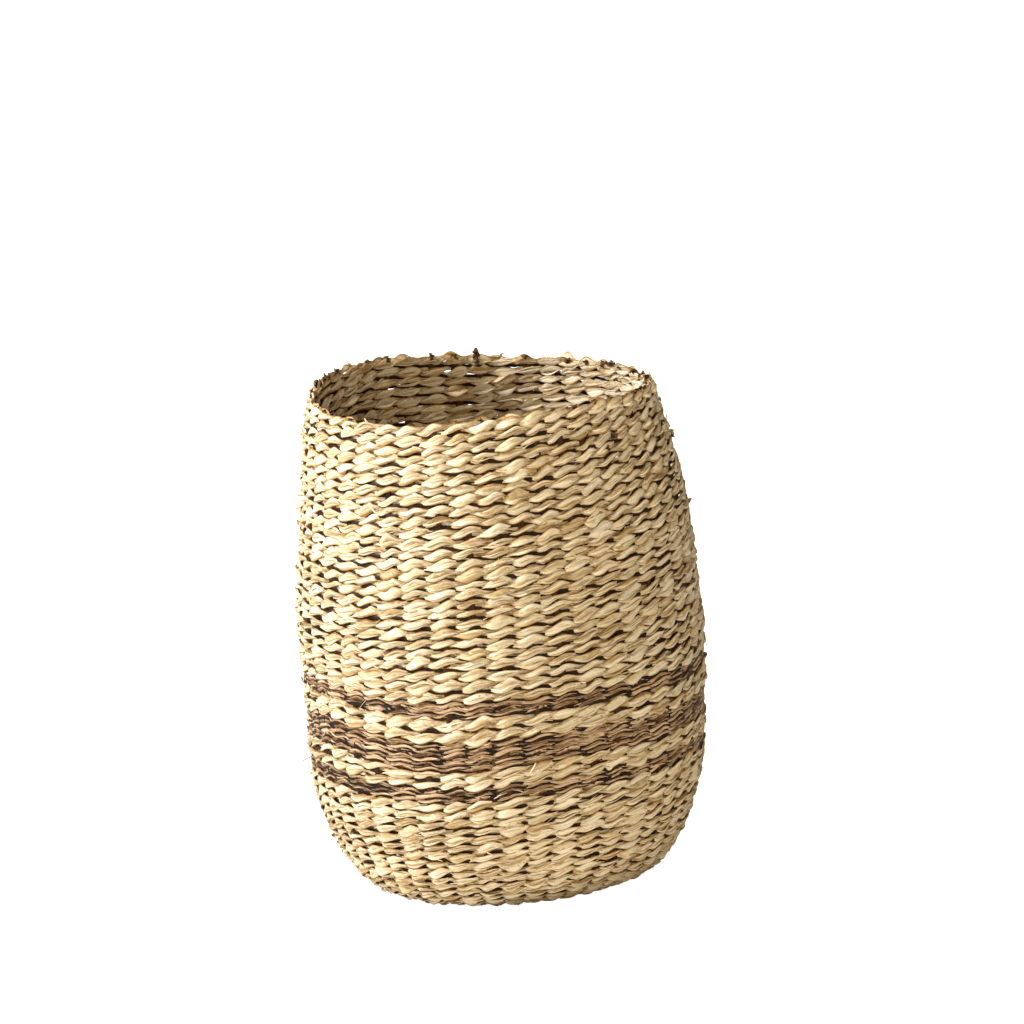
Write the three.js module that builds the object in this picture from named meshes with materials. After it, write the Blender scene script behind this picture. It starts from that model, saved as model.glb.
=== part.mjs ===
// A tall round storage basket, twined from seagrass, open at the top and without handles or a lid.
// Stiff stakes run across the base and up the wall. Pairs of weft strands are twined round them, one
// strand of each pair outside the stakes and the other inside, and the two change places between stakes.
// Here each round band of twining is two closed rings, the outer and the inner strands, with the stakes
// in the space between them. Millimetres, +Z up, the origin in the middle of the underside.
import * as THREE from "three";

// Driving dimensions.
const HEIGHT = 450;
const RIM_RADIUS = 156;
const BELLY_RADIUS = 182;
const BELLY_HEIGHT = 230;
const FLAT_BASE_RADIUS = 106;
const HEEL_RADIUS = 156;
const HEEL_HEIGHT = 38;
const STAKES = 44;
const STRAND_THICKNESS = 3;
const STAKE_THICKNESS = 2.4;
const STAKE_WIDTH = 6;
const STAKE_PLAY = 0.6;
const BAND_GAP = 0.3;
const STAKE_TIP = 5;

// Made by hand, the basket isn't quite even. The rim is lower towards +X, with a slight saddle. The body
// bulges towards +X, and the rows of the stripes wave up and down on the -X side.
const RIM_TILT = 3.7;
const RIM_SADDLE = 4.3;
const BULGE = 4.8;
const LEAN = 1.1;
const STRIPE_WAVE = 6.5;
const STRIPE_WAVES_ROUND = 4;
const STRIPE_WAVE_TURN = THREE.MathUtils.degToRad(130);
const STRIPE_WAVE_HEIGHT = 157;
const STRIPE_WAVE_REACH = 110;

// The crossed stakes in the middle of the base: five one way, six the other way on top of them.
const CROSS_STAKES = [5, 6];
const CROSS_PITCH = 8;
const CROSS_HALF = 25;
const CROSS_END = 33;
const FAN_RADIUS = 74;
const SIDE_STAKE_START = 77;
const INNER_BASE_START = 46;

// Heights where one band of twining ends and the next begins.
const LOWER_BROWN_FROM = 114;
const LOWER_BROWN_TO = 127;
const WIDE_BROWN_FROM = 145;
const WIDE_BROWN_TO = 170;
const UPPER_BROWN_FROM = 192;
const UPPER_BROWN_TO = 204;
const RIM_COURSE_FROM = HEIGHT - 12;

const STAKE_STEP = (2 * Math.PI) / STAKES;
const RING_FACETS = 24;
const FACET_TURN = (2 * Math.PI) / RING_FACETS;
const STAKE_SPACE = STAKE_THICKNESS + 2 * STAKE_PLAY;
const STAKE_DEPTH = STRAND_THICKNESS + STAKE_SPACE / 2;
const INNER_STRAND_DEPTH = STRAND_THICKNESS + STAKE_SPACE;

const natural = new THREE.MeshStandardMaterial({ color: 0xd8bd8a, roughness: 0.8, metalness: 0 });
const brown = new THREE.MeshStandardMaterial({ color: 0x7a5c3f, roughness: 0.85, metalness: 0 });
const stakeFibre = new THREE.MeshStandardMaterial({ color: 0x6a4a2c, roughness: 0.85, metalness: 0 });

// The outline of the outside, from the middle of the base to the rim: radius across, height up.
const outline = new THREE.CurvePath();
outline.add(new THREE.LineCurve(new THREE.Vector2(0, 0), new THREE.Vector2(FLAT_BASE_RADIUS, 0)));
outline.add(
  new THREE.QuadraticBezierCurve(
    new THREE.Vector2(FLAT_BASE_RADIUS, 0),
    new THREE.Vector2(HEEL_RADIUS - 18, 0),
    new THREE.Vector2(HEEL_RADIUS, HEEL_HEIGHT),
  ),
);
outline.add(
  new THREE.CubicBezierCurve(
    new THREE.Vector2(HEEL_RADIUS, HEEL_HEIGHT),
    new THREE.Vector2(HEEL_RADIUS + 26, HEEL_HEIGHT + 55),
    new THREE.Vector2(BELLY_RADIUS, BELLY_HEIGHT - 119),
    new THREE.Vector2(BELLY_RADIUS, BELLY_HEIGHT),
  ),
);
outline.add(
  new THREE.CubicBezierCurve(
    new THREE.Vector2(BELLY_RADIUS, BELLY_HEIGHT),
    new THREE.Vector2(BELLY_RADIUS, BELLY_HEIGHT + 48),
    new THREE.Vector2(RIM_RADIUS + 18, HEIGHT - 84),
    new THREE.Vector2(RIM_RADIUS, HEIGHT),
  ),
);
const OUTLINE_LENGTH = outline.getLength();

// How far along the outline it first reaches a radius on the base, or a height on the wall.
const alongBase = (radius) => radius;
const alongHeel = (share) => FLAT_BASE_RADIUS + share * outline.curves[1].getLength();
function alongWall(height) {
  let low = FLAT_BASE_RADIUS;
  let high = OUTLINE_LENGTH;
  for (let step = 0; step < 40; step++) {
    const middle = (low + high) / 2;
    if (outline.getPoint(middle / OUTLINE_LENGTH).y < height) low = middle;
    else high = middle;
  }
  return (low + high) / 2;
}

// The unit normal of the outline, pointing into the basket.
function inwardNormal(along) {
  const tangent = outline.getTangent(Math.min(along / OUTLINE_LENGTH, 1));
  return new THREE.Vector2(-tangent.y, tangent.x);
}

// A point this far along the outline and this deep in the wall; past the rim it goes straight on.
function wallPoint(along, depth) {
  const share = Math.min(along / OUTLINE_LENGTH, 1);
  const beyond = Math.max(along - OUTLINE_LENGTH, 0);
  const point = outline.getPoint(share).addScaledVector(inwardNormal(along), depth);
  return point.addScaledVector(outline.getTangent(share), beyond);
}

// How far the rows at a height and a turn lie below where an even basket would have them.
function sink(height, turn) {
  const rise = Math.max((height - UPPER_BROWN_TO) / (HEIGHT - UPPER_BROWN_TO), 0);
  const dip = RIM_TILT * Math.cos(turn) + RIM_SADDLE * Math.sin(2 * turn);
  const nearStripes = Math.max(1 - ((height - STRIPE_WAVE_HEIGHT) / STRIPE_WAVE_REACH) ** 2, 0) ** 2;
  const wave = Math.sin(STRIPE_WAVES_ROUND * (turn + STRIPE_WAVE_TURN)) * (1 - Math.cos(turn));
  return rise ** 2 * dip + (STRIPE_WAVE / 2) * nearStripes * wave;
}

// Gives a piece of the even basket the unevenness of the real one; the underside stays flat.
function makeUneven(geometry) {
  const position = geometry.getAttribute("position");
  for (let i = 0; i < position.count; i++) {
    const [x, y, z] = [position.getX(i), position.getY(i), position.getZ(i)];
    const share = z / HEIGHT;
    const shift = 4 * BULGE * share * (1 - share) + LEAN * share;
    position.setXYZ(i, x + shift, y, z - sink(z, Math.atan2(y, x)));
  }
  return geometry;
}

// ---- weft ----

// One layer of a band of twining: a closed ring that follows the outline through the given stations.
function weftRing(name, material, stations, depth) {
  const last = stations.length - 1;
  const trimmed = stations.map((along, i) => {
    if (i === 0 && along > 0) return along + BAND_GAP / 2;
    return i === last ? along - BAND_GAP / 2 : along;
  });
  const outside = trimmed.map((along) => wallPoint(along, depth));
  const inside = trimmed.map((along) => wallPoint(along, depth + STRAND_THICKNESS)).reverse();
  const profile = [...outside, ...inside];
  if (stations[0] > 0) profile.push(outside[0].clone());
  const geometry = new THREE.LatheGeometry(profile, RING_FACETS);
  geometry.rotateX(Math.PI / 2);
  const ring = new THREE.Mesh(makeUneven(geometry), material);
  ring.name = name;
  return ring;
}

const heelStations = [0, 0.25, 0.5, 0.75, 1].map(alongHeel);
const lowerWallStations = [HEEL_HEIGHT, 60, 86, LOWER_BROWN_FROM].map(alongWall);
const upperWallStations = [UPPER_BROWN_TO, 245, 290, 335, 380, 420, RIM_COURSE_FROM].map(alongWall);

const bands = [
  ["heel", natural, heelStations],
  ["lower_wall", natural, lowerWallStations],
  ["lower_brown_stripe", brown, [LOWER_BROWN_FROM, LOWER_BROWN_TO].map(alongWall)],
  ["lower_natural_stripe", natural, [LOWER_BROWN_TO, WIDE_BROWN_FROM].map(alongWall)],
  ["wide_brown_stripe", brown, [WIDE_BROWN_FROM, WIDE_BROWN_TO].map(alongWall)],
  ["upper_natural_stripe", natural, [WIDE_BROWN_TO, UPPER_BROWN_FROM].map(alongWall)],
  ["upper_brown_stripe", brown, [UPPER_BROWN_FROM, UPPER_BROWN_TO].map(alongWall)],
  ["upper_wall", natural, upperWallStations],
  ["rim_course", natural, [RIM_COURSE_FROM, HEIGHT].map(alongWall)],
];

// ---- stakes ----

// A line of points with a normal at each, which an extruded section keeps its flat side to.
class StakePath extends THREE.Curve {
  constructor(points, normals) {
    super();
    this.points = points;
    this.normals = normals;
  }
  getPoint(t, target = new THREE.Vector3()) {
    const place = t * (this.points.length - 1);
    const index = Math.min(Math.floor(place), this.points.length - 2);
    return target.lerpVectors(this.points[index], this.points[index + 1], place - index);
  }
  getSpacedPoints() {
    return this.points;
  }
  computeFrenetFrames() {
    const last = this.points.length - 1;
    const tangents = this.points.map((_, i) => {
      const before = this.points[Math.max(i - 1, 0)];
      const after = this.points[Math.min(i + 1, last)];
      return after.clone().sub(before).normalize();
    });
    const normals = tangents.map((tangent, i) => {
      const normal = this.normals[i].clone();
      return normal.addScaledVector(tangent, -normal.dot(tangent)).normalize();
    });
    const binormals = tangents.map((tangent, i) => tangent.clone().cross(normals[i]));
    return { tangents, normals, binormals };
  }
}

const stakeSection = new THREE.Shape([
  new THREE.Vector2(-STAKE_THICKNESS / 2, -STAKE_WIDTH / 2),
  new THREE.Vector2(STAKE_THICKNESS / 2, -STAKE_WIDTH / 2),
  new THREE.Vector2(STAKE_THICKNESS / 2, STAKE_WIDTH / 2),
  new THREE.Vector2(-STAKE_THICKNESS / 2, STAKE_WIDTH / 2),
]);

function stake(name, path) {
  const points = path.map((station) => station.point);
  const normals = path.map((station) => station.normal);
  const geometry = new THREE.ExtrudeGeometry(stakeSection, {
    steps: points.length - 1,
    extrudePath: new StakePath(points, normals),
  });
  const mesh = new THREE.Mesh(makeUneven(geometry), stakeFibre);
  mesh.name = name;
  return mesh;
}

// A faceted ring is nearer to the middle than the circle through its corners, by this share at an angle.
function facetShare(angle) {
  const fromMiddle = THREE.MathUtils.euclideanModulo(angle, FACET_TURN) - FACET_TURN / 2;
  return Math.cos(FACET_TURN / 2) / Math.cos(fromMiddle);
}

const wallStations = [
  ...heelStations,
  ...[60, 86, LOWER_BROWN_FROM, WIDE_BROWN_FROM, WIDE_BROWN_TO].map(alongWall),
  ...upperWallStations,
  OUTLINE_LENGTH + STAKE_TIP,
];

// The stretch of a stake from the flat of the base out, round the heel and up the wall to its tip.
function risingStretch(slot, start) {
  const angle = slot * STAKE_STEP;
  return [alongBase(start), ...wallStations].map((along) => {
    const point = wallPoint(along, STAKE_DEPTH);
    const normal = inwardNormal(along);
    const radius = point.x * facetShare(angle);
    return {
      point: new THREE.Vector3(radius * Math.cos(angle), radius * Math.sin(angle), point.y),
      normal: new THREE.Vector3(normal.x * Math.cos(angle), normal.x * Math.sin(angle), normal.y),
    };
  });
}

// One half of a stake that crosses the base: out from the middle along a heading, then up the wall.
function halfThroughStake(heading, offset, slot, lift) {
  const outward = new THREE.Vector3(Math.cos(heading), Math.sin(heading), 0);
  const sideways = new THREE.Vector3(-outward.y, outward.x, 0);
  const flat = [
    [CROSS_HALF, lift],
    [CROSS_END, 0],
  ].map(([distance, height]) => ({
    point: outward
      .clone()
      .multiplyScalar(distance)
      .addScaledVector(sideways, offset)
      .setZ(STAKE_DEPTH + height),
    normal: new THREE.Vector3(0, 0, 1),
  }));
  return [...flat, ...risingStretch(slot, FAN_RADIUS)];
}

// Stakes that cross the base stand in every second slot; heading 0 runs along X, 1 along Y.
function throughStakes() {
  return CROSS_STAKES.flatMap((count, quarter) =>
    Array.from({ length: count }, (_, i) => {
      const heading = (quarter * Math.PI) / 2;
      const offset = (i - (count - 1) / 2) * CROSS_PITCH;
      const firstSlot = (quarter * STAKES) / 4 - (count - 1);
      const lift = quarter * (STAKE_THICKNESS + STAKE_PLAY);
      const near = halfThroughStake(heading, offset, firstSlot + 2 * i, lift);
      const farSlot = firstSlot + STAKES / 2 + 2 * (count - 1 - i);
      const far = halfThroughStake(heading + Math.PI, -offset, farSlot, lift);
      const number = String(quarter * CROSS_STAKES[0] + i + 1).padStart(2, "0");
      return stake(`through_stake_${number}`, [...far.reverse(), ...near]);
    }),
  );
}

// Shorter stakes, let in between the through stakes where the base widens, fill the other slots.
function sideStakes() {
  return Array.from({ length: STAKES / 2 }, (_, i) => {
    const number = String(i + 1).padStart(2, "0");
    return stake(`side_stake_${number}`, risingStretch(2 * i + 1, SIDE_STAKE_START));
  });
}

const basket = new THREE.Group();
basket.add(weftRing("base_weft_under", natural, [0, FLAT_BASE_RADIUS].map(alongBase), 0));
basket.add(
  weftRing(
    "base_weft_over",
    natural,
    [INNER_BASE_START, FLAT_BASE_RADIUS].map(alongBase),
    INNER_STRAND_DEPTH,
  ),
);
for (const [name, material, stations] of bands) {
  basket.add(weftRing(`${name}_outer`, material, stations, 0));
  basket.add(weftRing(`${name}_inner`, material, stations, INNER_STRAND_DEPTH));
}
basket.add(...throughStakes(), ...sideStakes());

export default basket;
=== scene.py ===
# A tall storage basket twined from seagrass: the woven surface, its materials, the light and the camera.
# Every row of the weave is modelled: two strands twist round each other and round the stakes, and each
# strand is a bundle of flat blades. Metres, +Z up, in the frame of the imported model.
import math

import bpy
import numpy as np
from mathutils import Matrix, Vector


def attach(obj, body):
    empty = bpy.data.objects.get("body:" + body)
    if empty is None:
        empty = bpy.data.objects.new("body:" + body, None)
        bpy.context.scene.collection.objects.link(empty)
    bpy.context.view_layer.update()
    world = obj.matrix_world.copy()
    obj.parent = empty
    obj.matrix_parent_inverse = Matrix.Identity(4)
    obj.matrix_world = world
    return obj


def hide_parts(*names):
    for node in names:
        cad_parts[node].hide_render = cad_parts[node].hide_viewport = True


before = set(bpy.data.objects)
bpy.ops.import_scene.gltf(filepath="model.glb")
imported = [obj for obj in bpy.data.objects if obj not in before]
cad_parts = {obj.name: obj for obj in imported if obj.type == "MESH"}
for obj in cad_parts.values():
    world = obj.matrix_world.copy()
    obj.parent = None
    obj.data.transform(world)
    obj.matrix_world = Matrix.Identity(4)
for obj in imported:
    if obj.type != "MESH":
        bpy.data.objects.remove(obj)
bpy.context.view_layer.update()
MM = 0.001
TURN = 2 * math.pi

# ---- the basket's form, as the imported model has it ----

HEIGHT = 450 * MM
RIM_RADIUS = 156 * MM
BELLY_RADIUS = 182 * MM
BELLY_HEIGHT = 230 * MM
FLAT_BASE_RADIUS = 106 * MM
HEEL_RADIUS = 156 * MM
HEEL_HEIGHT = 38 * MM
STAKES = 44
STAKE_DEPTH = 3.2 * MM
STRIPES = {
    "lower_brown_stripe": (114 * MM, 127 * MM),
    "lower_natural_stripe": (127 * MM, 145 * MM),
    "wide_brown_stripe": (145 * MM, 170 * MM),
    "upper_natural_stripe": (170 * MM, 192 * MM),
    "upper_brown_stripe": (192 * MM, 204 * MM),
}
STRIPES_TOP = 204 * MM
RIM_TILT = 3.7 * MM
RIM_SADDLE = 4.3 * MM
BULGE = 4.8 * MM
LEAN = 1.1 * MM
STRIPE_WAVE = 6.5 * MM
STRIPE_WAVES_ROUND = 4
STRIPE_WAVE_TURN = math.radians(130)
STRIPE_WAVE_HEIGHT = 157 * MM
STRIPE_WAVE_REACH = 110 * MM
# The basket stands on its base rows, which are pressed flat against the floor.
PRESSED = 0.1 * MM


def bezier(points, samples=200):
    """Points on a Bezier curve of two, three or four control points."""
    t = np.linspace(0, 1, samples)[:, None]
    points = [np.array(p, float) for p in points]
    while len(points) > 1:
        points = [a + (b - a) * t for a, b in zip(points, points[1:])]
    return points[0]


OUTLINE = np.vstack(
    [
        bezier([(0, 0), (FLAT_BASE_RADIUS, 0)])[:-1],
        bezier([(FLAT_BASE_RADIUS, 0), (HEEL_RADIUS - 18 * MM, 0), (HEEL_RADIUS, HEEL_HEIGHT)])[:-1],
        bezier(
            [
                (HEEL_RADIUS, HEEL_HEIGHT),
                (HEEL_RADIUS + 26 * MM, HEEL_HEIGHT + 55 * MM),
                (BELLY_RADIUS, BELLY_HEIGHT - 119 * MM),
                (BELLY_RADIUS, BELLY_HEIGHT),
            ]
        )[:-1],
        bezier(
            [
                (BELLY_RADIUS, BELLY_HEIGHT),
                (BELLY_RADIUS, BELLY_HEIGHT + 48 * MM),
                (RIM_RADIUS + 18 * MM, HEIGHT - 84 * MM),
                (RIM_RADIUS, HEIGHT),
            ]
        ),
    ]
)
STEPS = np.linalg.norm(np.diff(OUTLINE, axis=0), axis=1)
ALONG = np.concatenate([[0], np.cumsum(STEPS)])
TANGENT = np.gradient(OUTLINE, ALONG, axis=0)
TANGENT /= np.linalg.norm(TANGENT, axis=1)[:, None]
OUTLINE_LENGTH = ALONG[-1]
WALL_START = FLAT_BASE_RADIUS


def along_wall(height):
    """How far along the outline the wall reaches a height."""
    wall = ALONG >= WALL_START
    return float(np.interp(height, OUTLINE[wall, 1], ALONG[wall]))


def smooth(x):
    """Eases from 0 to 1 as x does."""
    x = np.clip(x, 0, 1)
    return x * x * (3 - 2 * x)


class Drift:
    """A slow random wave over the wall, the same all the way round, between about -1 and 1."""

    def __init__(self, seed, waves=7, finest=6):
        random = np.random.default_rng(seed)
        self.turns = random.integers(1, finest + 1, waves)
        self.rises = random.uniform(-1, 1, waves) * TURN / (130 * MM)
        self.starts = random.uniform(0, TURN, waves)

    def __call__(self, along, turn):
        waves = zip(self.turns, self.rises, self.starts)
        total = sum(np.sin(n * turn + k * along + p) for n, k, p in waves)
        return total / math.sqrt(len(self.turns))


row_drift = Drift(11)
swell_drift = Drift(12, finest=4)
stake_drift = Drift(13, finest=9)
ROW_DRIFT = 1.5 * MM
SWELL = 1.1 * MM
STAKE_DRIFT = 1.3 * MM


def sink(height, turn):
    """How far the rows lie below where an even basket would have them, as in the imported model."""
    rise = np.maximum((height - STRIPES_TOP) / (HEIGHT - STRIPES_TOP), 0)
    dip = RIM_TILT * np.cos(turn) + RIM_SADDLE * np.sin(2 * turn)
    near_stripes = np.maximum(1 - ((height - STRIPE_WAVE_HEIGHT) / STRIPE_WAVE_REACH) ** 2, 0) ** 2
    wave = np.sin(STRIPE_WAVES_ROUND * (turn + STRIPE_WAVE_TURN)) * (1 - np.cos(turn))
    return rise**2 * dip + STRIPE_WAVE / 2 * near_stripes * wave


def place(along, turn, depth):
    """Points this far along the outline, at this turn and this deep in the wall, with the ways out and up."""
    freedom = smooth((along - WALL_START) / (60 * MM))
    settled = freedom * smooth((OUTLINE_LENGTH - along) / (30 * MM) + 0.4)
    turn = turn + stake_drift(along, turn) * STAKE_DRIFT * freedom / BELLY_RADIUS
    along = along + row_drift(along, turn) * ROW_DRIFT * settled
    beyond = np.maximum(along - OUTLINE_LENGTH, 0)
    radius, height = (np.interp(along, ALONG, OUTLINE[:, i]) for i in (0, 1))
    up_radius, up_height = (np.interp(along, ALONG, TANGENT[:, i]) for i in (0, 1))
    inward = depth - swell_drift(along, turn) * SWELL * freedom
    radius = radius - up_height * inward + up_radius * beyond
    height = height + up_radius * inward + up_height * beyond
    cos, sin = np.cos(turn), np.sin(turn)
    share = height / HEIGHT
    shift = 4 * BULGE * share * (1 - share) + LEAN * share
    point = np.stack([radius * cos + shift, radius * sin, height - sink(height, turn)], -1)
    out = np.stack([up_height * cos, up_height * sin, -up_radius], -1)
    up = np.stack([up_radius * cos, up_radius * sin, up_height], -1)
    return point, out, up


# ---- meshes ----


class Builder:
    """Collects tubes of blades, and makes them one mesh with the attributes that its material reads."""

    def __init__(self):
        self.points = []
        self.faces = []
        self.uvs = []
        self.values = {"grain": [], "tint": [], "shade": []}
        self.edges = []
        self.count = 0
        self.strips = 0

    def tube(self, rings, grain, tint, shade, closed):
        """rings: (steps, around, 3) points; closed joins the last ring to the first, else the ends are shut.
        The first line of points and the one opposite it are the tube's sharp edges."""
        rings[..., 2] = np.maximum(rings[..., 2], PRESSED)
        steps, around = rings.shape[:2]
        index = self.count + np.arange(steps * around).reshape(steps, around)
        last = steps if closed else steps - 1
        here = np.arange(last)
        ahead = (here + 1) % steps
        side = np.arange(around)
        beside = (side + 1) % around
        quads = np.stack(
            [
                index[here[:, None], side],
                index[here[:, None], beside],
                index[ahead[:, None], beside],
                index[ahead[:, None], side],
            ],
            -1,
        ).reshape(-1, 4)
        u = (np.stack([here, here, here + 1, here + 1], -1) / last)[:, None, :]
        v = (np.stack([side, side + 1, side + 1, side], -1) / around)[None]
        uv = np.stack(np.broadcast_arrays(u, v), -1).reshape(-1, 4, 2)
        if not closed:
            ends = [(index[0][::-1], 0.0), (index[-1], 1.0)]
            for ring, place_along in ends:
                for i in range(1, around - 1):
                    quads = np.vstack([quads, [ring[0], ring[i], ring[i + 1], ring[i + 1]]])
                    uv = np.concatenate([uv, np.full((1, 4, 2), place_along)])
        self.points.append(rings.reshape(-1, 3))
        self.faces.append(quads)
        self.uvs.append((self.strips, uv))
        shape = (steps, around)
        self.values["grain"].append(np.broadcast_to(grain, shape + (3,)).reshape(-1, 3))
        self.values["tint"].append(np.broadcast_to(tint, shape).ravel())
        self.values["shade"].append(np.broadcast_to(shade, shape).ravel())
        self.edges.append(np.tile((side == 0) | (side == around // 2), steps))
        self.count += steps * around
        self.strips += 1

    def bake_map(self):
        """Lays every tube out as strips, cut so that they fill a square without overlapping."""
        cuts = max(1, round(math.sqrt(60 / self.strips)))
        shelves = self.strips * cuts
        layout = []
        for strip, uv in self.uvs:
            middle = uv[..., 0].mean(1) * cuts
            piece = np.clip(np.floor(middle), 0, cuts - 1)[:, None]
            u = np.clip(uv[..., 0] * cuts - piece, 0, 1)
            v = (strip * cuts + piece + 0.04 + 0.92 * uv[..., 1]) / shelves
            layout.append(np.stack([u, v], -1).reshape(-1, 2))
        return np.concatenate(layout)

    def finish(self, name, material, replaced):
        mesh = bpy.data.meshes.new(name)
        points = np.concatenate(self.points)
        faces = np.concatenate(self.faces)
        triangles = faces[:, 2] == faces[:, 3]
        sizes = np.where(triangles, 3, 4)
        keep = np.ones(faces.shape, bool)
        keep[triangles, 3] = False
        mesh.vertices.add(len(points))
        mesh.vertices.foreach_set("co", points.astype(np.float32).ravel())
        mesh.loops.add(int(sizes.sum()))
        mesh.loops.foreach_set("vertex_index", faces[keep].astype(np.int32))
        mesh.polygons.add(len(faces))
        starts = np.concatenate([[0], np.cumsum(sizes)[:-1]])
        mesh.polygons.foreach_set("loop_start", starts.astype(np.int32))
        mesh.polygons.foreach_set("use_smooth", np.ones(len(faces), bool))
        # The map for baking the model's colours to.
        bake_map = mesh.uv_layers.new(name="OFBake")
        flat = self.bake_map().reshape(-1, 4, 2)[keep]
        bake_map.data.foreach_set("uv", flat.astype(np.float32).ravel())
        for key, parts in self.values.items():
            values = np.concatenate(parts).astype(np.float32)
            kind = "FLOAT_VECTOR" if values.ndim == 2 else "FLOAT"
            layer = mesh.attributes.new(key, kind, "POINT")
            layer.data.foreach_set("vector" if values.ndim == 2 else "value", values.ravel())
        mesh.update(calc_edges=True)
        mesh.validate()
        ends = np.empty(len(mesh.edges) * 2, np.int32)
        mesh.edges.foreach_get("vertices", ends)
        sharp = np.concatenate(self.edges)[ends].reshape(-1, 2).all(1)
        mesh.attributes.new("sharp_edge", "BOOLEAN", "EDGE").data.foreach_set("value", sharp)
        piece = bpy.data.objects.new(name, mesh)
        bpy.context.scene.collection.objects.link(piece)
        mesh.materials.append(material)
        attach(piece, "root")
        if replaced:
            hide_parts(*replaced)
        return piece


# ---- the weft: rows of paired strands ----


class Blade:
    """One blade of a strand: its size and offset in shares of the strand's own, with their spreads."""

    def __init__(self, width, spread, thickness, offset, offset_spread, lift, facets):
        self.width = width
        self.spread = spread
        self.thickness = thickness
        self.offset = offset
        self.offset_spread = offset_spread
        self.lift = lift
        self.facets = facets


class Yarn:
    """What a strand of one kind is: its half width and thickness, how far it rises and swings as it twists
    round its pair, how the row waves, how much the strand gathers where the pair cross, how full it is for
    its row, and its blades."""

    def __init__(self, half_width, half_thickness, rise, swing, wave, gather, fill, blades):
        self.half_width = half_width
        self.half_thickness = half_thickness
        self.rise = rise
        self.swing = swing
        self.wave = wave
        self.gather = gather
        self.fill = fill
        self.blades = blades


STITCH_STEPS = 10
WAVE_LAG = 0.6
# How long a strand stays on one face before it crosses, and how sharply it gathers at the crossing.
DWELL = 0.2
GATHER_SHARPNESS = 1.4
# A strand is fuller where it lies inside the basket.
INSIDE_FULLNESS = 0.12
# A few stitches are of a broader leaf.
BROAD_CHANCE = 0.09
BROAD_LEAF = 1.5
# How far the blades roll as they cross, how much they bend over their width, and how crumpled they are.
CROSSING_ROLL = 0.38
CAMBER = 0.12
CRUMPLE = 0.28
ROUGH = 0.2
# Painted shade on a blade: darker where it is tucked deep between the stakes, darker along its edges, and
# never quite black.
TUCK_SHADE = 0.35
EDGE_SHADE = 0.68
DARKEST = 0.85
NATURAL = Yarn(
    half_width=4.4 * MM,
    half_thickness=0.7 * MM,
    rise=1.9 * MM,
    swing=1.8 * MM,
    wave=0.5 * MM,
    gather=0.46,
    fill=1.08,
    blades=[
        Blade(width=0.8, spread=0.16, thickness=1.0, offset=-0.1, offset_spread=0.14, lift=0.0, facets=8),
        Blade(width=0.52, spread=0.18, thickness=0.8, offset=0.42, offset_spread=0.3, lift=1.0, facets=7),
        Blade(width=0.42, spread=0.2, thickness=0.7, offset=-0.42, offset_spread=0.4, lift=1.3, facets=6),
    ],
)
BROWN = Yarn(
    half_width=2.1 * MM,
    half_thickness=0.7 * MM,
    rise=0.85 * MM,
    swing=0.7 * MM,
    wave=0.85 * MM,
    gather=0.2,
    fill=0.88,
    blades=[
        Blade(width=0.88, spread=0.18, thickness=1.0, offset=0.0, offset_spread=0.2, lift=0.0, facets=8),
        Blade(width=0.6, spread=0.2, thickness=0.8, offset=0.3, offset_spread=0.5, lift=0.6, facets=6),
    ],
)


def eased(values, place_in_row):
    """A value for each stitch, eased from one to the next along the row."""
    low = np.floor(place_in_row).astype(int)
    share = smooth(place_in_row - low)
    count = len(values)
    return values[low % count] * (1 - share) + values[(low + 1) % count] * share


def blade_section(facets):
    """A lens-shaped section of half width 1 and half thickness 1."""
    angle = TURN * np.arange(facets) / facets
    return np.cos(angle), np.sin(angle)


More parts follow.
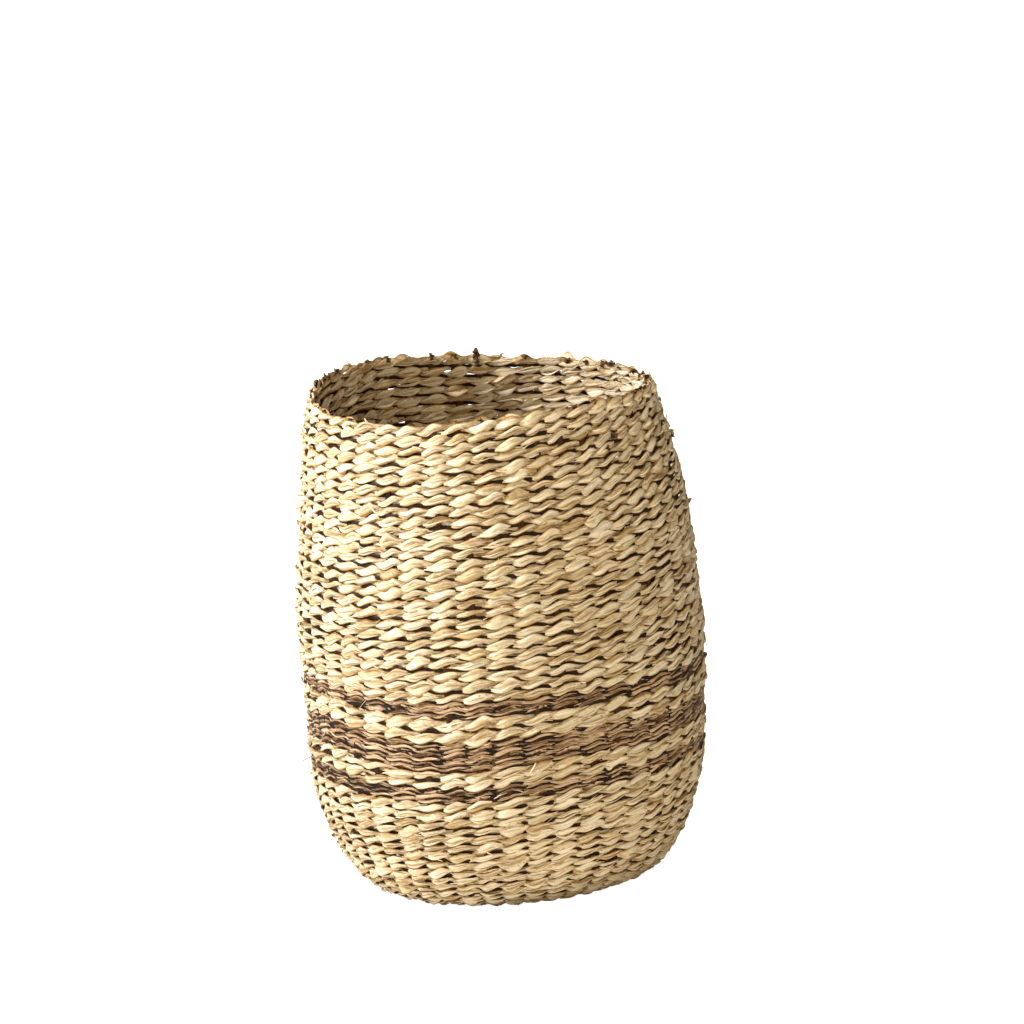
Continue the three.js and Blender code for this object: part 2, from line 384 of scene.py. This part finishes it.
def weave_strand(builder, random, yarn, along, pitch, stitches, phase, uneven):
    """One strand of a pair, all the way round: outside every second stake and inside the others.
    uneven: how far each crossing of the pair is from midway between its stakes."""
    steps = stitches * STITCH_STEPS
    place_in_row = np.arange(steps) / STITCH_STEPS
    turn = place_in_row * TURN / stitches
    swing = math.pi * (place_in_row + phase + eased(uneven, place_in_row))
    dwell = swing - DWELL * np.sin(2 * swing)
    spread = yarn.fill * pitch / (2 * yarn.half_width)

    def vary(middle, amount, low=-1e9, high=1e9):
        return eased(np.clip(random.normal(middle, amount, stitches), low, high), place_in_row)

    def stitch_by_stitch(middle, amount, low, high):
        """Holds one value over each whole stitch, from one crossing to the next."""
        values = np.clip(random.normal(middle, amount, stitches), low, high)
        return values[np.floor(place_in_row + 0.5).astype(int) % stitches]

    broad = eased(np.where(random.uniform(size=stitches) < BROAD_CHANCE, BROAD_LEAF, 1.0), place_in_row)
    slant = vary(1, 0.3, 0.3, 1.8)
    wave = yarn.wave * vary(1, 0.4) * np.sin(2 * swing + WAVE_LAG)
    rise = yarn.rise * slant * np.sin(swing) + wave + vary(0, 0.08) * pitch
    depth = STAKE_DEPTH - yarn.swing * np.cos(dwell) + vary(0, 0.3 * MM)
    roll = -CROSSING_ROLL * np.sin(dwell) + vary(0, 0.16)
    gather = 1 - yarn.gather * (1 - np.abs(np.cos(swing)) ** GATHER_SHARPNESS) + vary(0, 0.06)
    gather = gather + INSIDE_FULLNESS * np.maximum(-np.cos(swing), 0)
    bundle = vary(1, 0.13, 0.7, 1.3) * broad * gather
    for blade in yarn.blades:
        width = yarn.half_width * spread * bundle * vary(blade.width, blade.spread, 0.15, 1.3)
        thickness = yarn.half_thickness * blade.thickness * vary(1, 0.15, 0.6, 1.4)
        shift = yarn.half_width * gather * vary(blade.offset, blade.offset_spread, -0.8, 0.8)
        lift = yarn.half_thickness * vary(blade.lift, 0.25) * np.cos(dwell)
        across, thick = blade_section(blade.facets)
        x = across[None] * width[:, None]
        crumple = np.stack([vary(0, CRUMPLE) for _ in across], -1)
        crumple = crumple + random.normal(0, ROUGH, (steps, len(across)))
        y = (thick[None] + crumple * (np.abs(thick[None]) > 0.1)) * thickness[:, None]
        y = y - CAMBER * np.cos(dwell)[:, None] * x**2 / width[:, None]
        x = x + shift[:, None]
        y = y + lift[:, None]
        angle = (roll + vary(0, 0.24))[:, None]
        outward = np.cos(angle) * y - np.sin(angle) * x
        upward = np.sin(angle) * y + np.cos(angle) * x
        centre, out, up = place(along + rise, turn, depth)
        rings = centre[:, None] + out[:, None] * outward[..., None] + up[:, None] * upward[..., None]
        radius = float(np.interp(along, ALONG, OUTLINE[:, 0]))
        travel = np.broadcast_to((turn * radius)[:, None], x.shape)
        marks = np.broadcast_to(stitch_by_stitch(0.5, 0.3, 0, 1)[:, None], x.shape)
        grain = np.stack([travel, x, marks], -1)
        tint = stitch_by_stitch(0.5, 0.26, 0, 1)[:, None] + random.normal(0, 0.1, (steps, len(across)))
        # Painted shade: darker where the blade lies deep in the wall between the stakes.
        inside = 1 - np.abs(depth[:, None] - outward - STAKE_DEPTH) / (1.3 * MM)
        # Painted shade along the blade's two edges.
        painted_edge_shade = np.abs(across[None]) > 0.95
        # Painted shade along one crease line on each blade.
        crease_facet = int(random.integers(1, blade.facets // 2))
        painted_crease_line = np.isin(np.arange(blade.facets), (crease_facet, blade.facets - crease_facet))[None]
        painted_crease_shade = painted_crease_line * vary(0.12, 0.24, 0, 0.6)[:, None]
        shade = np.clip(TUCK_SHADE * smooth(inside) + EDGE_SHADE * painted_edge_shade + painted_crease_shade, 0, DARKEST)
        builder.tube(rings, grain, tint, shade, closed=True)


# Painted shade: near-black sheets lie between the rows, behind the gaps. Above this height they are thinner
# in places, so that light shows through the wall.
THIN_SHADE_SHEET_START = along_wall(370 * MM)
SHADE_SHEET_DEPTH = STAKE_DEPTH - 0.4 * MM
SHADE_SHEET_HALF_HEIGHT = 2.2 * MM
SHADE_SHEET_HALF_THICKNESS = 0.5 * MM


def weave_shade_sheet(builder, random, along, stitches):
    """A near-black sheet between two rows, behind the gaps in the stitches: painted shade for the gaps."""
    steps = stitches * 4
    turn = np.arange(steps) * TURN / steps
    thinnest = 0.7 if along > THIN_SHADE_SHEET_START else 0.9
    across, thick = blade_section(6)
    along = along + random.normal(0, 0.3 * MM, steps)
    centre, out, up = place(along, turn, np.full(steps, SHADE_SHEET_DEPTH))
    thin_spots = eased(random.uniform(thinnest, 1, stitches), np.arange(steps) / 4)
    upward = across[None] * SHADE_SHEET_HALF_HEIGHT * thin_spots[:, None]
    outward = thick[None] * SHADE_SHEET_HALF_THICKNESS
    rings = centre[:, None] + out[:, None] * outward[..., None] + up[:, None] * upward[..., None]
    grain = np.stack(np.broadcast_arrays((turn * BELLY_RADIUS)[:, None], upward, np.array(0.5)), -1)
    builder.tube(rings, grain, 0.2, 1.0, closed=True)


def weave_row(builder, random, yarn, along, pitch, stitches):
    uneven = np.clip(random.normal(0, 0.07, stitches), -0.16, 0.16)
    for phase in (0, 1):
        weave_strand(builder, random, yarn, along, pitch, stitches, phase, uneven)
    # Painted shade: a near-black sheet between this row and the next, except above the top row.
    if along + pitch < OUTLINE_LENGTH:
        weave_shade_sheet(builder, random, along + pitch / 2, stitches)


# ---- materials ----


def new_material(name, colour, roughness):
    material = bpy.data.materials.new(name)
    material.use_nodes = True
    nodes, links = material.node_tree.nodes, material.node_tree.links
    shader = nodes["Principled BSDF"]
    shader.inputs["Base Color"].default_value = (*colour, 1)
    shader.inputs["Roughness"].default_value = roughness
    shader.inputs["Specular IOR Level"].default_value = 0.2
    material.diffuse_color = (*colour, 1)
    return material, nodes, links, shader


def ramp(nodes, stops):
    node = nodes.new("ShaderNodeValToRGB")
    elements = node.color_ramp.elements
    while len(elements) < len(stops):
        elements.new(0.5)
    for element, (position, colour) in zip(elements, stops):
        element.position = position
        element.color = (*colour, 1)
    return node


def mix(nodes, links, factor, first, second, blend="MIX"):
    node = nodes.new("ShaderNodeMix")
    node.data_type = "RGBA"
    node.blend_type = blend
    for socket, value in zip((node.inputs[0], node.inputs[6], node.inputs[7]), (factor, first, second)):
        if hasattr(value, "links"):
            links.new(value, socket)
        else:
            socket.default_value = value if isinstance(value, (int, float)) else (*value, 1)
    return node.outputs[2]


def stretched_noise(nodes, links, vector, scale, detail):
    """Noise drawn out along the blade, as streaks or fibres."""
    stretched = nodes.new("ShaderNodeVectorMath")
    stretched.operation = "MULTIPLY"
    stretched.inputs[1].default_value = scale
    links.new(vector, stretched.inputs[0])
    noise = nodes.new("ShaderNodeTexNoise")
    noise.inputs["Scale"].default_value = 1
    noise.inputs["Detail"].default_value = detail
    links.new(stretched.outputs[0], noise.inputs["Vector"])
    return noise.outputs["Fac"]


def grass_material(name, pale, mid, dark, painted_edge_shade, deep, roughness):
    """Dry seagrass: fine fibres along each blade, each blade its own tone, with painted shade where it tucks
    in, along its edges and creases and on the gap sheets. The knots take their own darker tone through the
    same shade attribute.
    """
    material, nodes, links, shader = new_material(name, mid, roughness)
    read = {}
    for key in ("grain", "tint", "shade"):
        read[key] = nodes.new("ShaderNodeAttribute")
        read[key].attribute_name = key
    grain = read["grain"].outputs["Vector"]
    fibres = stretched_noise(nodes, links, grain, (60, 850, 60), 3)
    streaks = stretched_noise(nodes, links, grain, (38, 520, 40), 2)

    streaky = nodes.new("ShaderNodeMath")
    streaky.operation = "MULTIPLY"
    streaky.inputs[1].default_value = 0.9
    links.new(streaks, streaky.inputs[0])
    blend = nodes.new("ShaderNodeMath")
    blend.operation = "MULTIPLY_ADD"
    blend.inputs[1].default_value = 0.5
    links.new(read["tint"].outputs["Fac"], blend.inputs[0])
    links.new(streaky.outputs[0], blend.inputs[2])
    colours = ramp(nodes, [(0.42, dark), (0.62, mid), (0.86, pale)])
    links.new(blend.outputs[0], colours.inputs[0])

    lines = ramp(nodes, [(0.3, (0.55, 0.43, 0.28)), (0.5, (1, 1, 1))])
    links.new(fibres, lines.inputs[0])
    fibrous = mix(nodes, links, 0.6, colours.outputs[0], lines.outputs[0], "MULTIPLY")
    # Painted shade: the shade attribute darkens the colour through golden brown to near black.
    tucks = ramp(nodes, [(0.05, (1, 1, 1)), (0.5, painted_edge_shade), (1, deep)])
    links.new(read["shade"].outputs["Fac"], tucks.inputs[0])
    tucked = mix(nodes, links, 1, fibrous, tucks.outputs[0], "MULTIPLY")
    links.new(tucked, shader.inputs["Base Color"])

    bump = nodes.new("ShaderNodeBump")
    bump.inputs["Strength"].default_value = 0.8
    bump.inputs["Distance"].default_value = 0.35 * MM
    links.new(fibres, bump.inputs["Height"])
    links.new(bump.outputs[0], shader.inputs["Normal"])
    return material


# Painted shade colours: golden brown along blade edges and creases, near black in deep recesses and on the
# gap sheets.
GOLDEN_EDGE_SHADE = (0.54, 0.38, 0.2)
DEEP_SHADE = (0.028, 0.012, 0.004)
natural_grass = grass_material(
    "Natural seagrass",
    pale=(0.90, 0.83, 0.67),
    mid=(0.77, 0.66, 0.45),
    dark=(0.52, 0.38, 0.19),
    painted_edge_shade=GOLDEN_EDGE_SHADE,
    deep=DEEP_SHADE,
    roughness=0.5,
)
brown_grass = grass_material(
    "Brown seagrass",
    pale=(0.72, 0.55, 0.38),
    mid=(0.34, 0.225, 0.13),
    dark=(0.11, 0.06, 0.03),
    painted_edge_shade=GOLDEN_EDGE_SHADE,
    deep=DEEP_SHADE,
    roughness=0.5,
)
stake_grass = grass_material(
    "Stake fibre",
    pale=(0.22, 0.13, 0.06),
    mid=(0.10, 0.055, 0.025),
    dark=(0.03, 0.015, 0.007),
    painted_edge_shade=GOLDEN_EDGE_SHADE,
    deep=DEEP_SHADE,
    roughness=0.7,
)

# ---- bands of rows ----

random = np.random.default_rng(7)


def weave_band(name, yarn, material, start, end, rows, stitches, replaced):
    builder = Builder()
    pitch = (end - start) / rows
    for row in range(rows):
        weave_row(builder, random, yarn, start + (row + 0.5) * pitch, pitch, stitches)
    return builder.finish(name, material, replaced)


def weave_bands(names, start, end, rows_each, replaced):
    """Bands of natural rows, one above the other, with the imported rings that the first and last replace."""
    pitch = (end - start) / sum(rows_each)
    for name, rows in zip(names, rows_each):
        end_of_band = start + rows * pitch
        rings = replaced.get(name, [])
        weave_band(name, NATURAL, natural_grass, start, end_of_band, rows, STAKES, rings)
        start = end_of_band


def rings_of(*bands):
    return [f"{band}_{side}" for band in bands for side in ("outer", "inner")]


# The first rows go round the through stakes only, so they have half as many stitches.
SPARSE_START = 34 * MM
SPARSE_END = 77 * MM
SPARSE_ROWS = 5
weave_band(
    "base_centre_rows",
    NATURAL,
    natural_grass,
    SPARSE_START,
    SPARSE_END,
    SPARSE_ROWS,
    STAKES // 2,
    ["base_weft_under", "base_weft_over"],
)
weave_bands(
    ["heel_rows_1", "heel_rows_2", "lower_wall_rows_1", "lower_wall_rows_2"],
    SPARSE_END,
    along_wall(STRIPES["lower_brown_stripe"][0]),
    [5, 5, 5, 5],
    {"heel_rows_1": rings_of("heel"), "lower_wall_rows_1": rings_of("lower_wall")},
)
stripe_rows = {
    "lower_brown_stripe": (BROWN, brown_grass, "brown_seagrass", 3),
    "lower_natural_stripe": (NATURAL, natural_grass, "natural_seagrass", 2),
    "wide_brown_stripe": (BROWN, brown_grass, "brown_seagrass", 6),
    "upper_natural_stripe": (NATURAL, natural_grass, "natural_seagrass", 2),
    "upper_brown_stripe": (BROWN, brown_grass, "brown_seagrass", 3),
}
for band, (yarn, material, slot, rows) in stripe_rows.items():
    low, high = STRIPES[band]
    start, end = along_wall(low), along_wall(high)
    weave_band(f"{band}_rows", yarn, material, start, end, rows, STAKES, rings_of(band))
weave_bands(
    [f"upper_wall_rows_{i}" for i in range(1, 6)] + ["rim_rows"],
    along_wall(STRIPES_TOP),
    OUTLINE_LENGTH,
    [5, 5, 5, 5, 5, 2],
    {"upper_wall_rows_1": rings_of("upper_wall"), "rim_rows": rings_of("rim_course")},
)

# ---- stakes ----

STAKE_HALF_WIDTH = 3.4 * MM
STAKE_HALF_THICKNESS = 1.1 * MM
STAKE_STEP_LENGTH = 7 * MM
CROSS_STAKES = (5, 6)
CROSS_PITCH = 8 * MM
CROSS_HALF = 25 * MM
CROSS_END = 33 * MM
CROSS_LIFT = 3.0 * MM
FAN_RADIUS = 74 * MM
TALL_TIP = 11


def tip_above_rim(number):
    """How far a stake's frayed end stands above the rim; one at the back was left longer."""
    return 6 * MM if number == TALL_TIP else random.uniform(-1, 1.5) * MM


def rising_stretch(number, start):
    """A stake from the flat of the base out, round the heel and up the wall: its line and its ways out."""
    end = OUTLINE_LENGTH + tip_above_rim(number)
    along = np.linspace(start, end, int((end - start) / STAKE_STEP_LENGTH))
    turn = np.full(len(along), number * TURN / STAKES)
    centre, out, _ = place(along, turn, np.full(len(along), STAKE_DEPTH))
    return centre, out


def half_through_stake(heading, offset, number, lift):
    """Half of a stake that crosses the base: out from the middle along a heading, then up the wall."""
    outward = np.array([math.cos(heading), math.sin(heading), 0])
    sideways = np.array([-outward[1], outward[0], 0])
    flat = [
        outward * distance + sideways * offset + np.array([0, 0, STAKE_DEPTH + height])
        for distance, height in ((0, lift), (CROSS_HALF, lift), (CROSS_END, 0))
    ]
    rise, out = rising_stretch(number, FAN_RADIUS)
    return np.vstack([flat, rise]), np.vstack([np.tile([0, 0, -1.0], (3, 1)), out])


def stake_tube(builder, line, out, crosses_base):
    along = np.gradient(line, axis=0)
    side = np.cross(along, out)
    side /= np.linalg.norm(side, axis=1)[:, None]
    across, thick = blade_section(8)
    width = STAKE_HALF_WIDTH * random.uniform(0.85, 1.1)
    taper = np.ones((len(line), 1, 1))
    taper[-1] = 0.4
    if crosses_base:
        taper[0] = 0.4
    rings = (
        line[:, None]
        + side[:, None] * taper * (across * width)[None, :, None]
        + out[:, None] * taper * (thick * STAKE_HALF_THICKNESS)[None, :, None]
    )
    travel = np.arange(len(line))[:, None] * STAKE_STEP_LENGTH
    grain = np.stack(np.broadcast_arrays(travel, across[None] * width, np.array(random.uniform())), -1)
    # The stakes are darkened past their own dark brown: partly their own tone, partly painted shade for the
    # gaps where they show.
    builder.tube(rings, grain, random.uniform(0.2, 0.8), 0.6, closed=False)


side_stakes = Builder()
for number in range(1, STAKES, 2):
    stake_tube(side_stakes, *rising_stretch(number, SPARSE_END), False)
through_stakes = Builder()
for quarter, count in enumerate(CROSS_STAKES):
    heading = quarter * math.pi / 2
    for i in range(count):
        offset = (i - (count - 1) / 2) * CROSS_PITCH
        first = quarter * STAKES // 4 - (count - 1)
        far_first = first + STAKES // 2
        near = half_through_stake(heading, offset, first + 2 * i, quarter * CROSS_LIFT)
        far = half_through_stake(
            heading + math.pi, -offset, far_first + 2 * (count - 1 - i), quarter * CROSS_LIFT
        )
        line, out = (np.vstack([b[:0:-1], a]) for a, b in zip(near, far))
        stake_tube(through_stakes, line, out, True)
side_nodes = [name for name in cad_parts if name.startswith("side_stake_")]
through_nodes = [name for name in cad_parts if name.startswith("through_stake_")]
side_stakes.finish("side_stakes", stake_grass, side_nodes)
through_stakes.finish("through_stakes", stake_grass, through_nodes)

# ---- frayed ends and loose fibres ----


def fibre(builder, start, heading, length, width, curl, tint, shade):
    """A short curved fibre that tapers to its end."""
    steps = 6
    t = np.linspace(0, 1, steps)[:, None]
    heading = heading / np.linalg.norm(heading)
    bend = np.cross(heading, random.normal(size=3))
    bend /= np.linalg.norm(bend)
    line = start + heading * length * t + bend * curl * length * t**2
    side = np.cross(heading, bend)
    angle = TURN * np.arange(4) / 4
    size = width * (1 - 0.6 * t**2)
    rings = (
        line[:, None]
        + (size * np.cos(angle)[None])[..., None] * side
        + (0.5 * size * np.sin(angle)[None])[..., None] * bend
    )
    grain = np.stack(np.broadcast_arrays(t * length, size * np.cos(angle)[None], np.array(tint)), -1)
    builder.tube(rings, grain, tint, shade, closed=False)


KNOT_SHADE = 0.25


def knot(builder, along, turn, depth, wraps, reach, rise=0.0):
    """A tangle of short fibres wound round a place on the wall, which may run a little way down from it."""
    for _ in range(wraps):
        lower = random.uniform(-0.5 * reach, reach + rise)
        start, out, up = place(
            np.array([along - lower]),
            np.array([turn + random.normal(0, 0.45 * reach) / BELLY_RADIUS]),
            np.array([depth + random.uniform(-reach, reach)]),
        )
        side = np.cross(up[0], out[0])
        heading = side * random.choice([-1, 1])
        heading = heading + up[0] * random.normal(0.1, 0.6)
        heading = heading + out[0] * random.normal(0, 0.5)
        length = random.uniform(2.8, 5.2) * MM
        width = random.uniform(0.8, 1.5) * MM
        curl = random.uniform(0.1, 0.6)
        tint = random.uniform(0, 0.9)
        fibre(builder, start[0] - heading * length / 3, heading, length, width, curl, tint, KNOT_SHADE)


# Each stake is tied off at the rim, most of them with a dark knot on the inner side.
KNOT_REACH = 2.6 * MM
KNOT_DEPTH = STAKE_DEPTH + 1.8 * MM
LOOP_TURN = math.radians(38)
dark_knots = Builder()
pale_knots = Builder()
for number in range(STAKES):
    turn = number * TURN / STAKES
    if number == TALL_TIP:
        knot(dark_knots, OUTLINE_LENGTH + 2.5 * MM, turn, STAKE_DEPTH + 3 * MM, 48, 3 * MM, 8 * MM)
    elif random.uniform() < 0.8:
        knot(dark_knots, OUTLINE_LENGTH, turn, KNOT_DEPTH, int(random.integers(9, 19)), KNOT_REACH)
    else:
        knot(pale_knots, OUTLINE_LENGTH, turn, STAKE_DEPTH, int(random.integers(4, 9)), KNOT_REACH)
# Places where a new strand was knotted in: turn in degrees, height, and turns of the knot.
JOINED_STRANDS = [
    (-45, 419 * MM, 30),
    (-49, 411 * MM, 14),
    (0, 396 * MM, 16),
    (152, 300 * MM, 12),
    (95, 365 * MM, 16),
]
for degrees, height, wraps in JOINED_STRANDS:
    knot(dark_knots, along_wall(height), math.radians(degrees), 0.3 * MM, wraps, 2 * MM)
knot(pale_knots, along_wall(400 * MM), 0, 0, 22, 3 * MM)
knot(dark_knots, OUTLINE_LENGTH + 1 * MM, LOOP_TURN, STAKE_DEPTH, 12, KNOT_REACH)
knot(pale_knots, OUTLINE_LENGTH + 1 * MM, LOOP_TURN + 0.07, STAKE_DEPTH, 16, KNOT_REACH)
dark_knots.finish("dark_knots", stake_grass, [])
pale_knots.finish("pale_knots", natural_grass, [])

# One cut weft end stands out of the left side, in the lower brown stripe.
weft_end = Builder()
start, out, up = place(np.array([along_wall(122 * MM)]), np.array([math.pi]), np.array([3 * MM]))
fibre(weft_end, start[0], out[0] - 0.3 * up[0], 15 * MM, 1.1 * MM, 0.1, 0.7, 0.1)
weft_end.finish("cut_weft_end", brown_grass, [])

LOOSE_PALE_FIBRES = 560
LOOSE_BROWN_FIBRES = 70


def loose_fibres(name, material, count, low, high, width):
    """Ends of blades that have worked out of the weave, more of them standing out than lying in."""
    builder = Builder()
    for _ in range(count):
        along = random.uniform(along_wall(low), along_wall(high))
        outside = random.uniform() < 0.7
        if outside:
            depth = random.uniform(-0.6, 0.8) * MM
        else:
            depth = 2 * STAKE_DEPTH + random.uniform(-0.8, 0.6) * MM
        start, out, up = place(np.array([along]), np.array([random.uniform(0, TURN)]), np.array([depth]))
        side = np.cross(up[0], out[0])
        lean_out = abs(random.normal(0.1, 0.18)) * (1 if outside else -1)
        heading = side * random.choice([-1, 1]) + up[0] * random.normal(0, 0.5) + out[0] * lean_out
        length = random.uniform(3, 12) * MM
        half_width = random.uniform(0.25, 0.8) * width
        curl = random.uniform(0, 0.35)
        tint = random.uniform(0, 1)
        fibre(builder, start[0], heading, length, half_width, curl, tint, 0)
    builder.finish(name, material, [])


loose_fibres(
    "loose_pale_fibres",
    natural_grass,
    LOOSE_PALE_FIBRES,
    low=20 * MM,
    high=449 * MM,
    width=1 * MM,
)
loose_fibres(
    "loose_brown_fibres",
    brown_grass,
    LOOSE_BROWN_FIBRES,
    low=112 * MM,
    high=206 * MM,
    width=0.9 * MM,
)

# ---- floor, light and camera ----


FLOOR_RADIUS = 40
FLOOR_SIDES = 96


def plain_floor():
    """A large round floor, level with the underside."""
    mesh = bpy.data.meshes.new("floor")
    turns = [TURN * i / FLOOR_SIDES for i in range(FLOOR_SIDES)]
    ring = [(FLOOR_RADIUS * math.cos(turn), FLOOR_RADIUS * math.sin(turn), 0) for turn in turns]
    mesh.from_pydata(ring, [], [list(range(FLOOR_SIDES))])
    material, nodes, links, shader = new_material("Floor", (0.75, 0.72, 0.66), 0.9)
    shader.inputs["Specular IOR Level"].default_value = 0
    shader.inputs["Emission Color"].default_value = (1, 1, 1, 1)
    seen = nodes.new("ShaderNodeLightPath").outputs["Is Camera Ray"]
    links.new(seen, shader.inputs["Emission Strength"])
    mesh.materials.append(material)
    floor = bpy.data.objects.new("floor", mesh)
    bpy.context.scene.collection.objects.link(floor)


def area_light(name, place_at, target, size, power, colour):
    data = bpy.data.lights.new(name, "AREA")
    data.shape = "DISK"
    data.size = size
    data.energy = power
    data.color = colour
    light = bpy.data.objects.new(name, data)
    light.location = place_at
    light.rotation_euler = (Vector(target) - Vector(place_at)).to_track_quat("-Z", "Y").to_euler()
    bpy.context.scene.collection.objects.link(light)


plain_floor()
MIDDLE = Vector((0, 0, HEIGHT / 2))
area_light("Key", (-2.55, -0.45, 1.7), MIDDLE, 0.5, 104, (1, 0.99, 0.99))
area_light("Front", (-0.4, -2.6, 0.7), MIDDLE, 1.2, 16, (1, 0.88, 0.68))
area_light("Right", (1.8, -2.0, 0.9), MIDDLE, 1.2, 8, (1, 0.74, 0.38))
area_light("Top", (-0.4, -0.4, 2.6), MIDDLE, 0.7, 48, (1, 0.86, 0.64))

# The background is white to the camera and dimmer as light.
world = bpy.data.worlds.new("Studio")
world.use_nodes = True
nodes, links = world.node_tree.nodes, world.node_tree.links
background = nodes["Background"]
background.inputs["Color"].default_value = (1, 0.97, 0.92, 1)
path = nodes.new("ShaderNodeLightPath")
strength = nodes.new("ShaderNodeMapRange")
strength.inputs["To Min"].default_value = 0.2
strength.inputs["To Max"].default_value = 1.1
links.new(path.outputs["Is Camera Ray"], strength.inputs["Value"])
links.new(strength.outputs["Result"], background.inputs["Strength"])
bpy.context.scene.world = world
bpy.context.scene.view_settings.view_transform = "Standard"

# The camera looks down a little from far off, and leans so that the basket's right side rises.
ELEVATION = math.radians(13.23)
CAMERA_ROLL = math.radians(3.93)
DISTANCE = 7.2
FRAME_WIDTH = 0.9216
AIM_RIGHT = 0.0220
AIM_UP = 0.1056
SENSOR = 36

away = Vector((0, -math.cos(ELEVATION), math.sin(ELEVATION)))
camera_data = bpy.data.cameras.new("Camera")
camera_data.sensor_width = SENSOR
camera_data.lens = SENSOR * DISTANCE / FRAME_WIDTH
camera_data.clip_end = 200
camera = bpy.data.objects.new("Camera", camera_data)
level = away.to_track_quat("Z", "Y").to_matrix()
shift_turn = math.atan2(AIM_RIGHT, DISTANCE)
rise_turn = math.atan2(AIM_UP, DISTANCE)
aim = level @ Matrix.Rotation(-shift_turn, 3, "Y") @ Matrix.Rotation(rise_turn, 3, "X")
aim = aim @ Matrix.Rotation(-CAMERA_ROLL, 3, "Z")
camera.matrix_world = Matrix.Translation(MIDDLE + away * DISTANCE) @ aim.to_4x4()
bpy.context.scene.collection.objects.link(camera)
bpy.context.scene.camera = camera
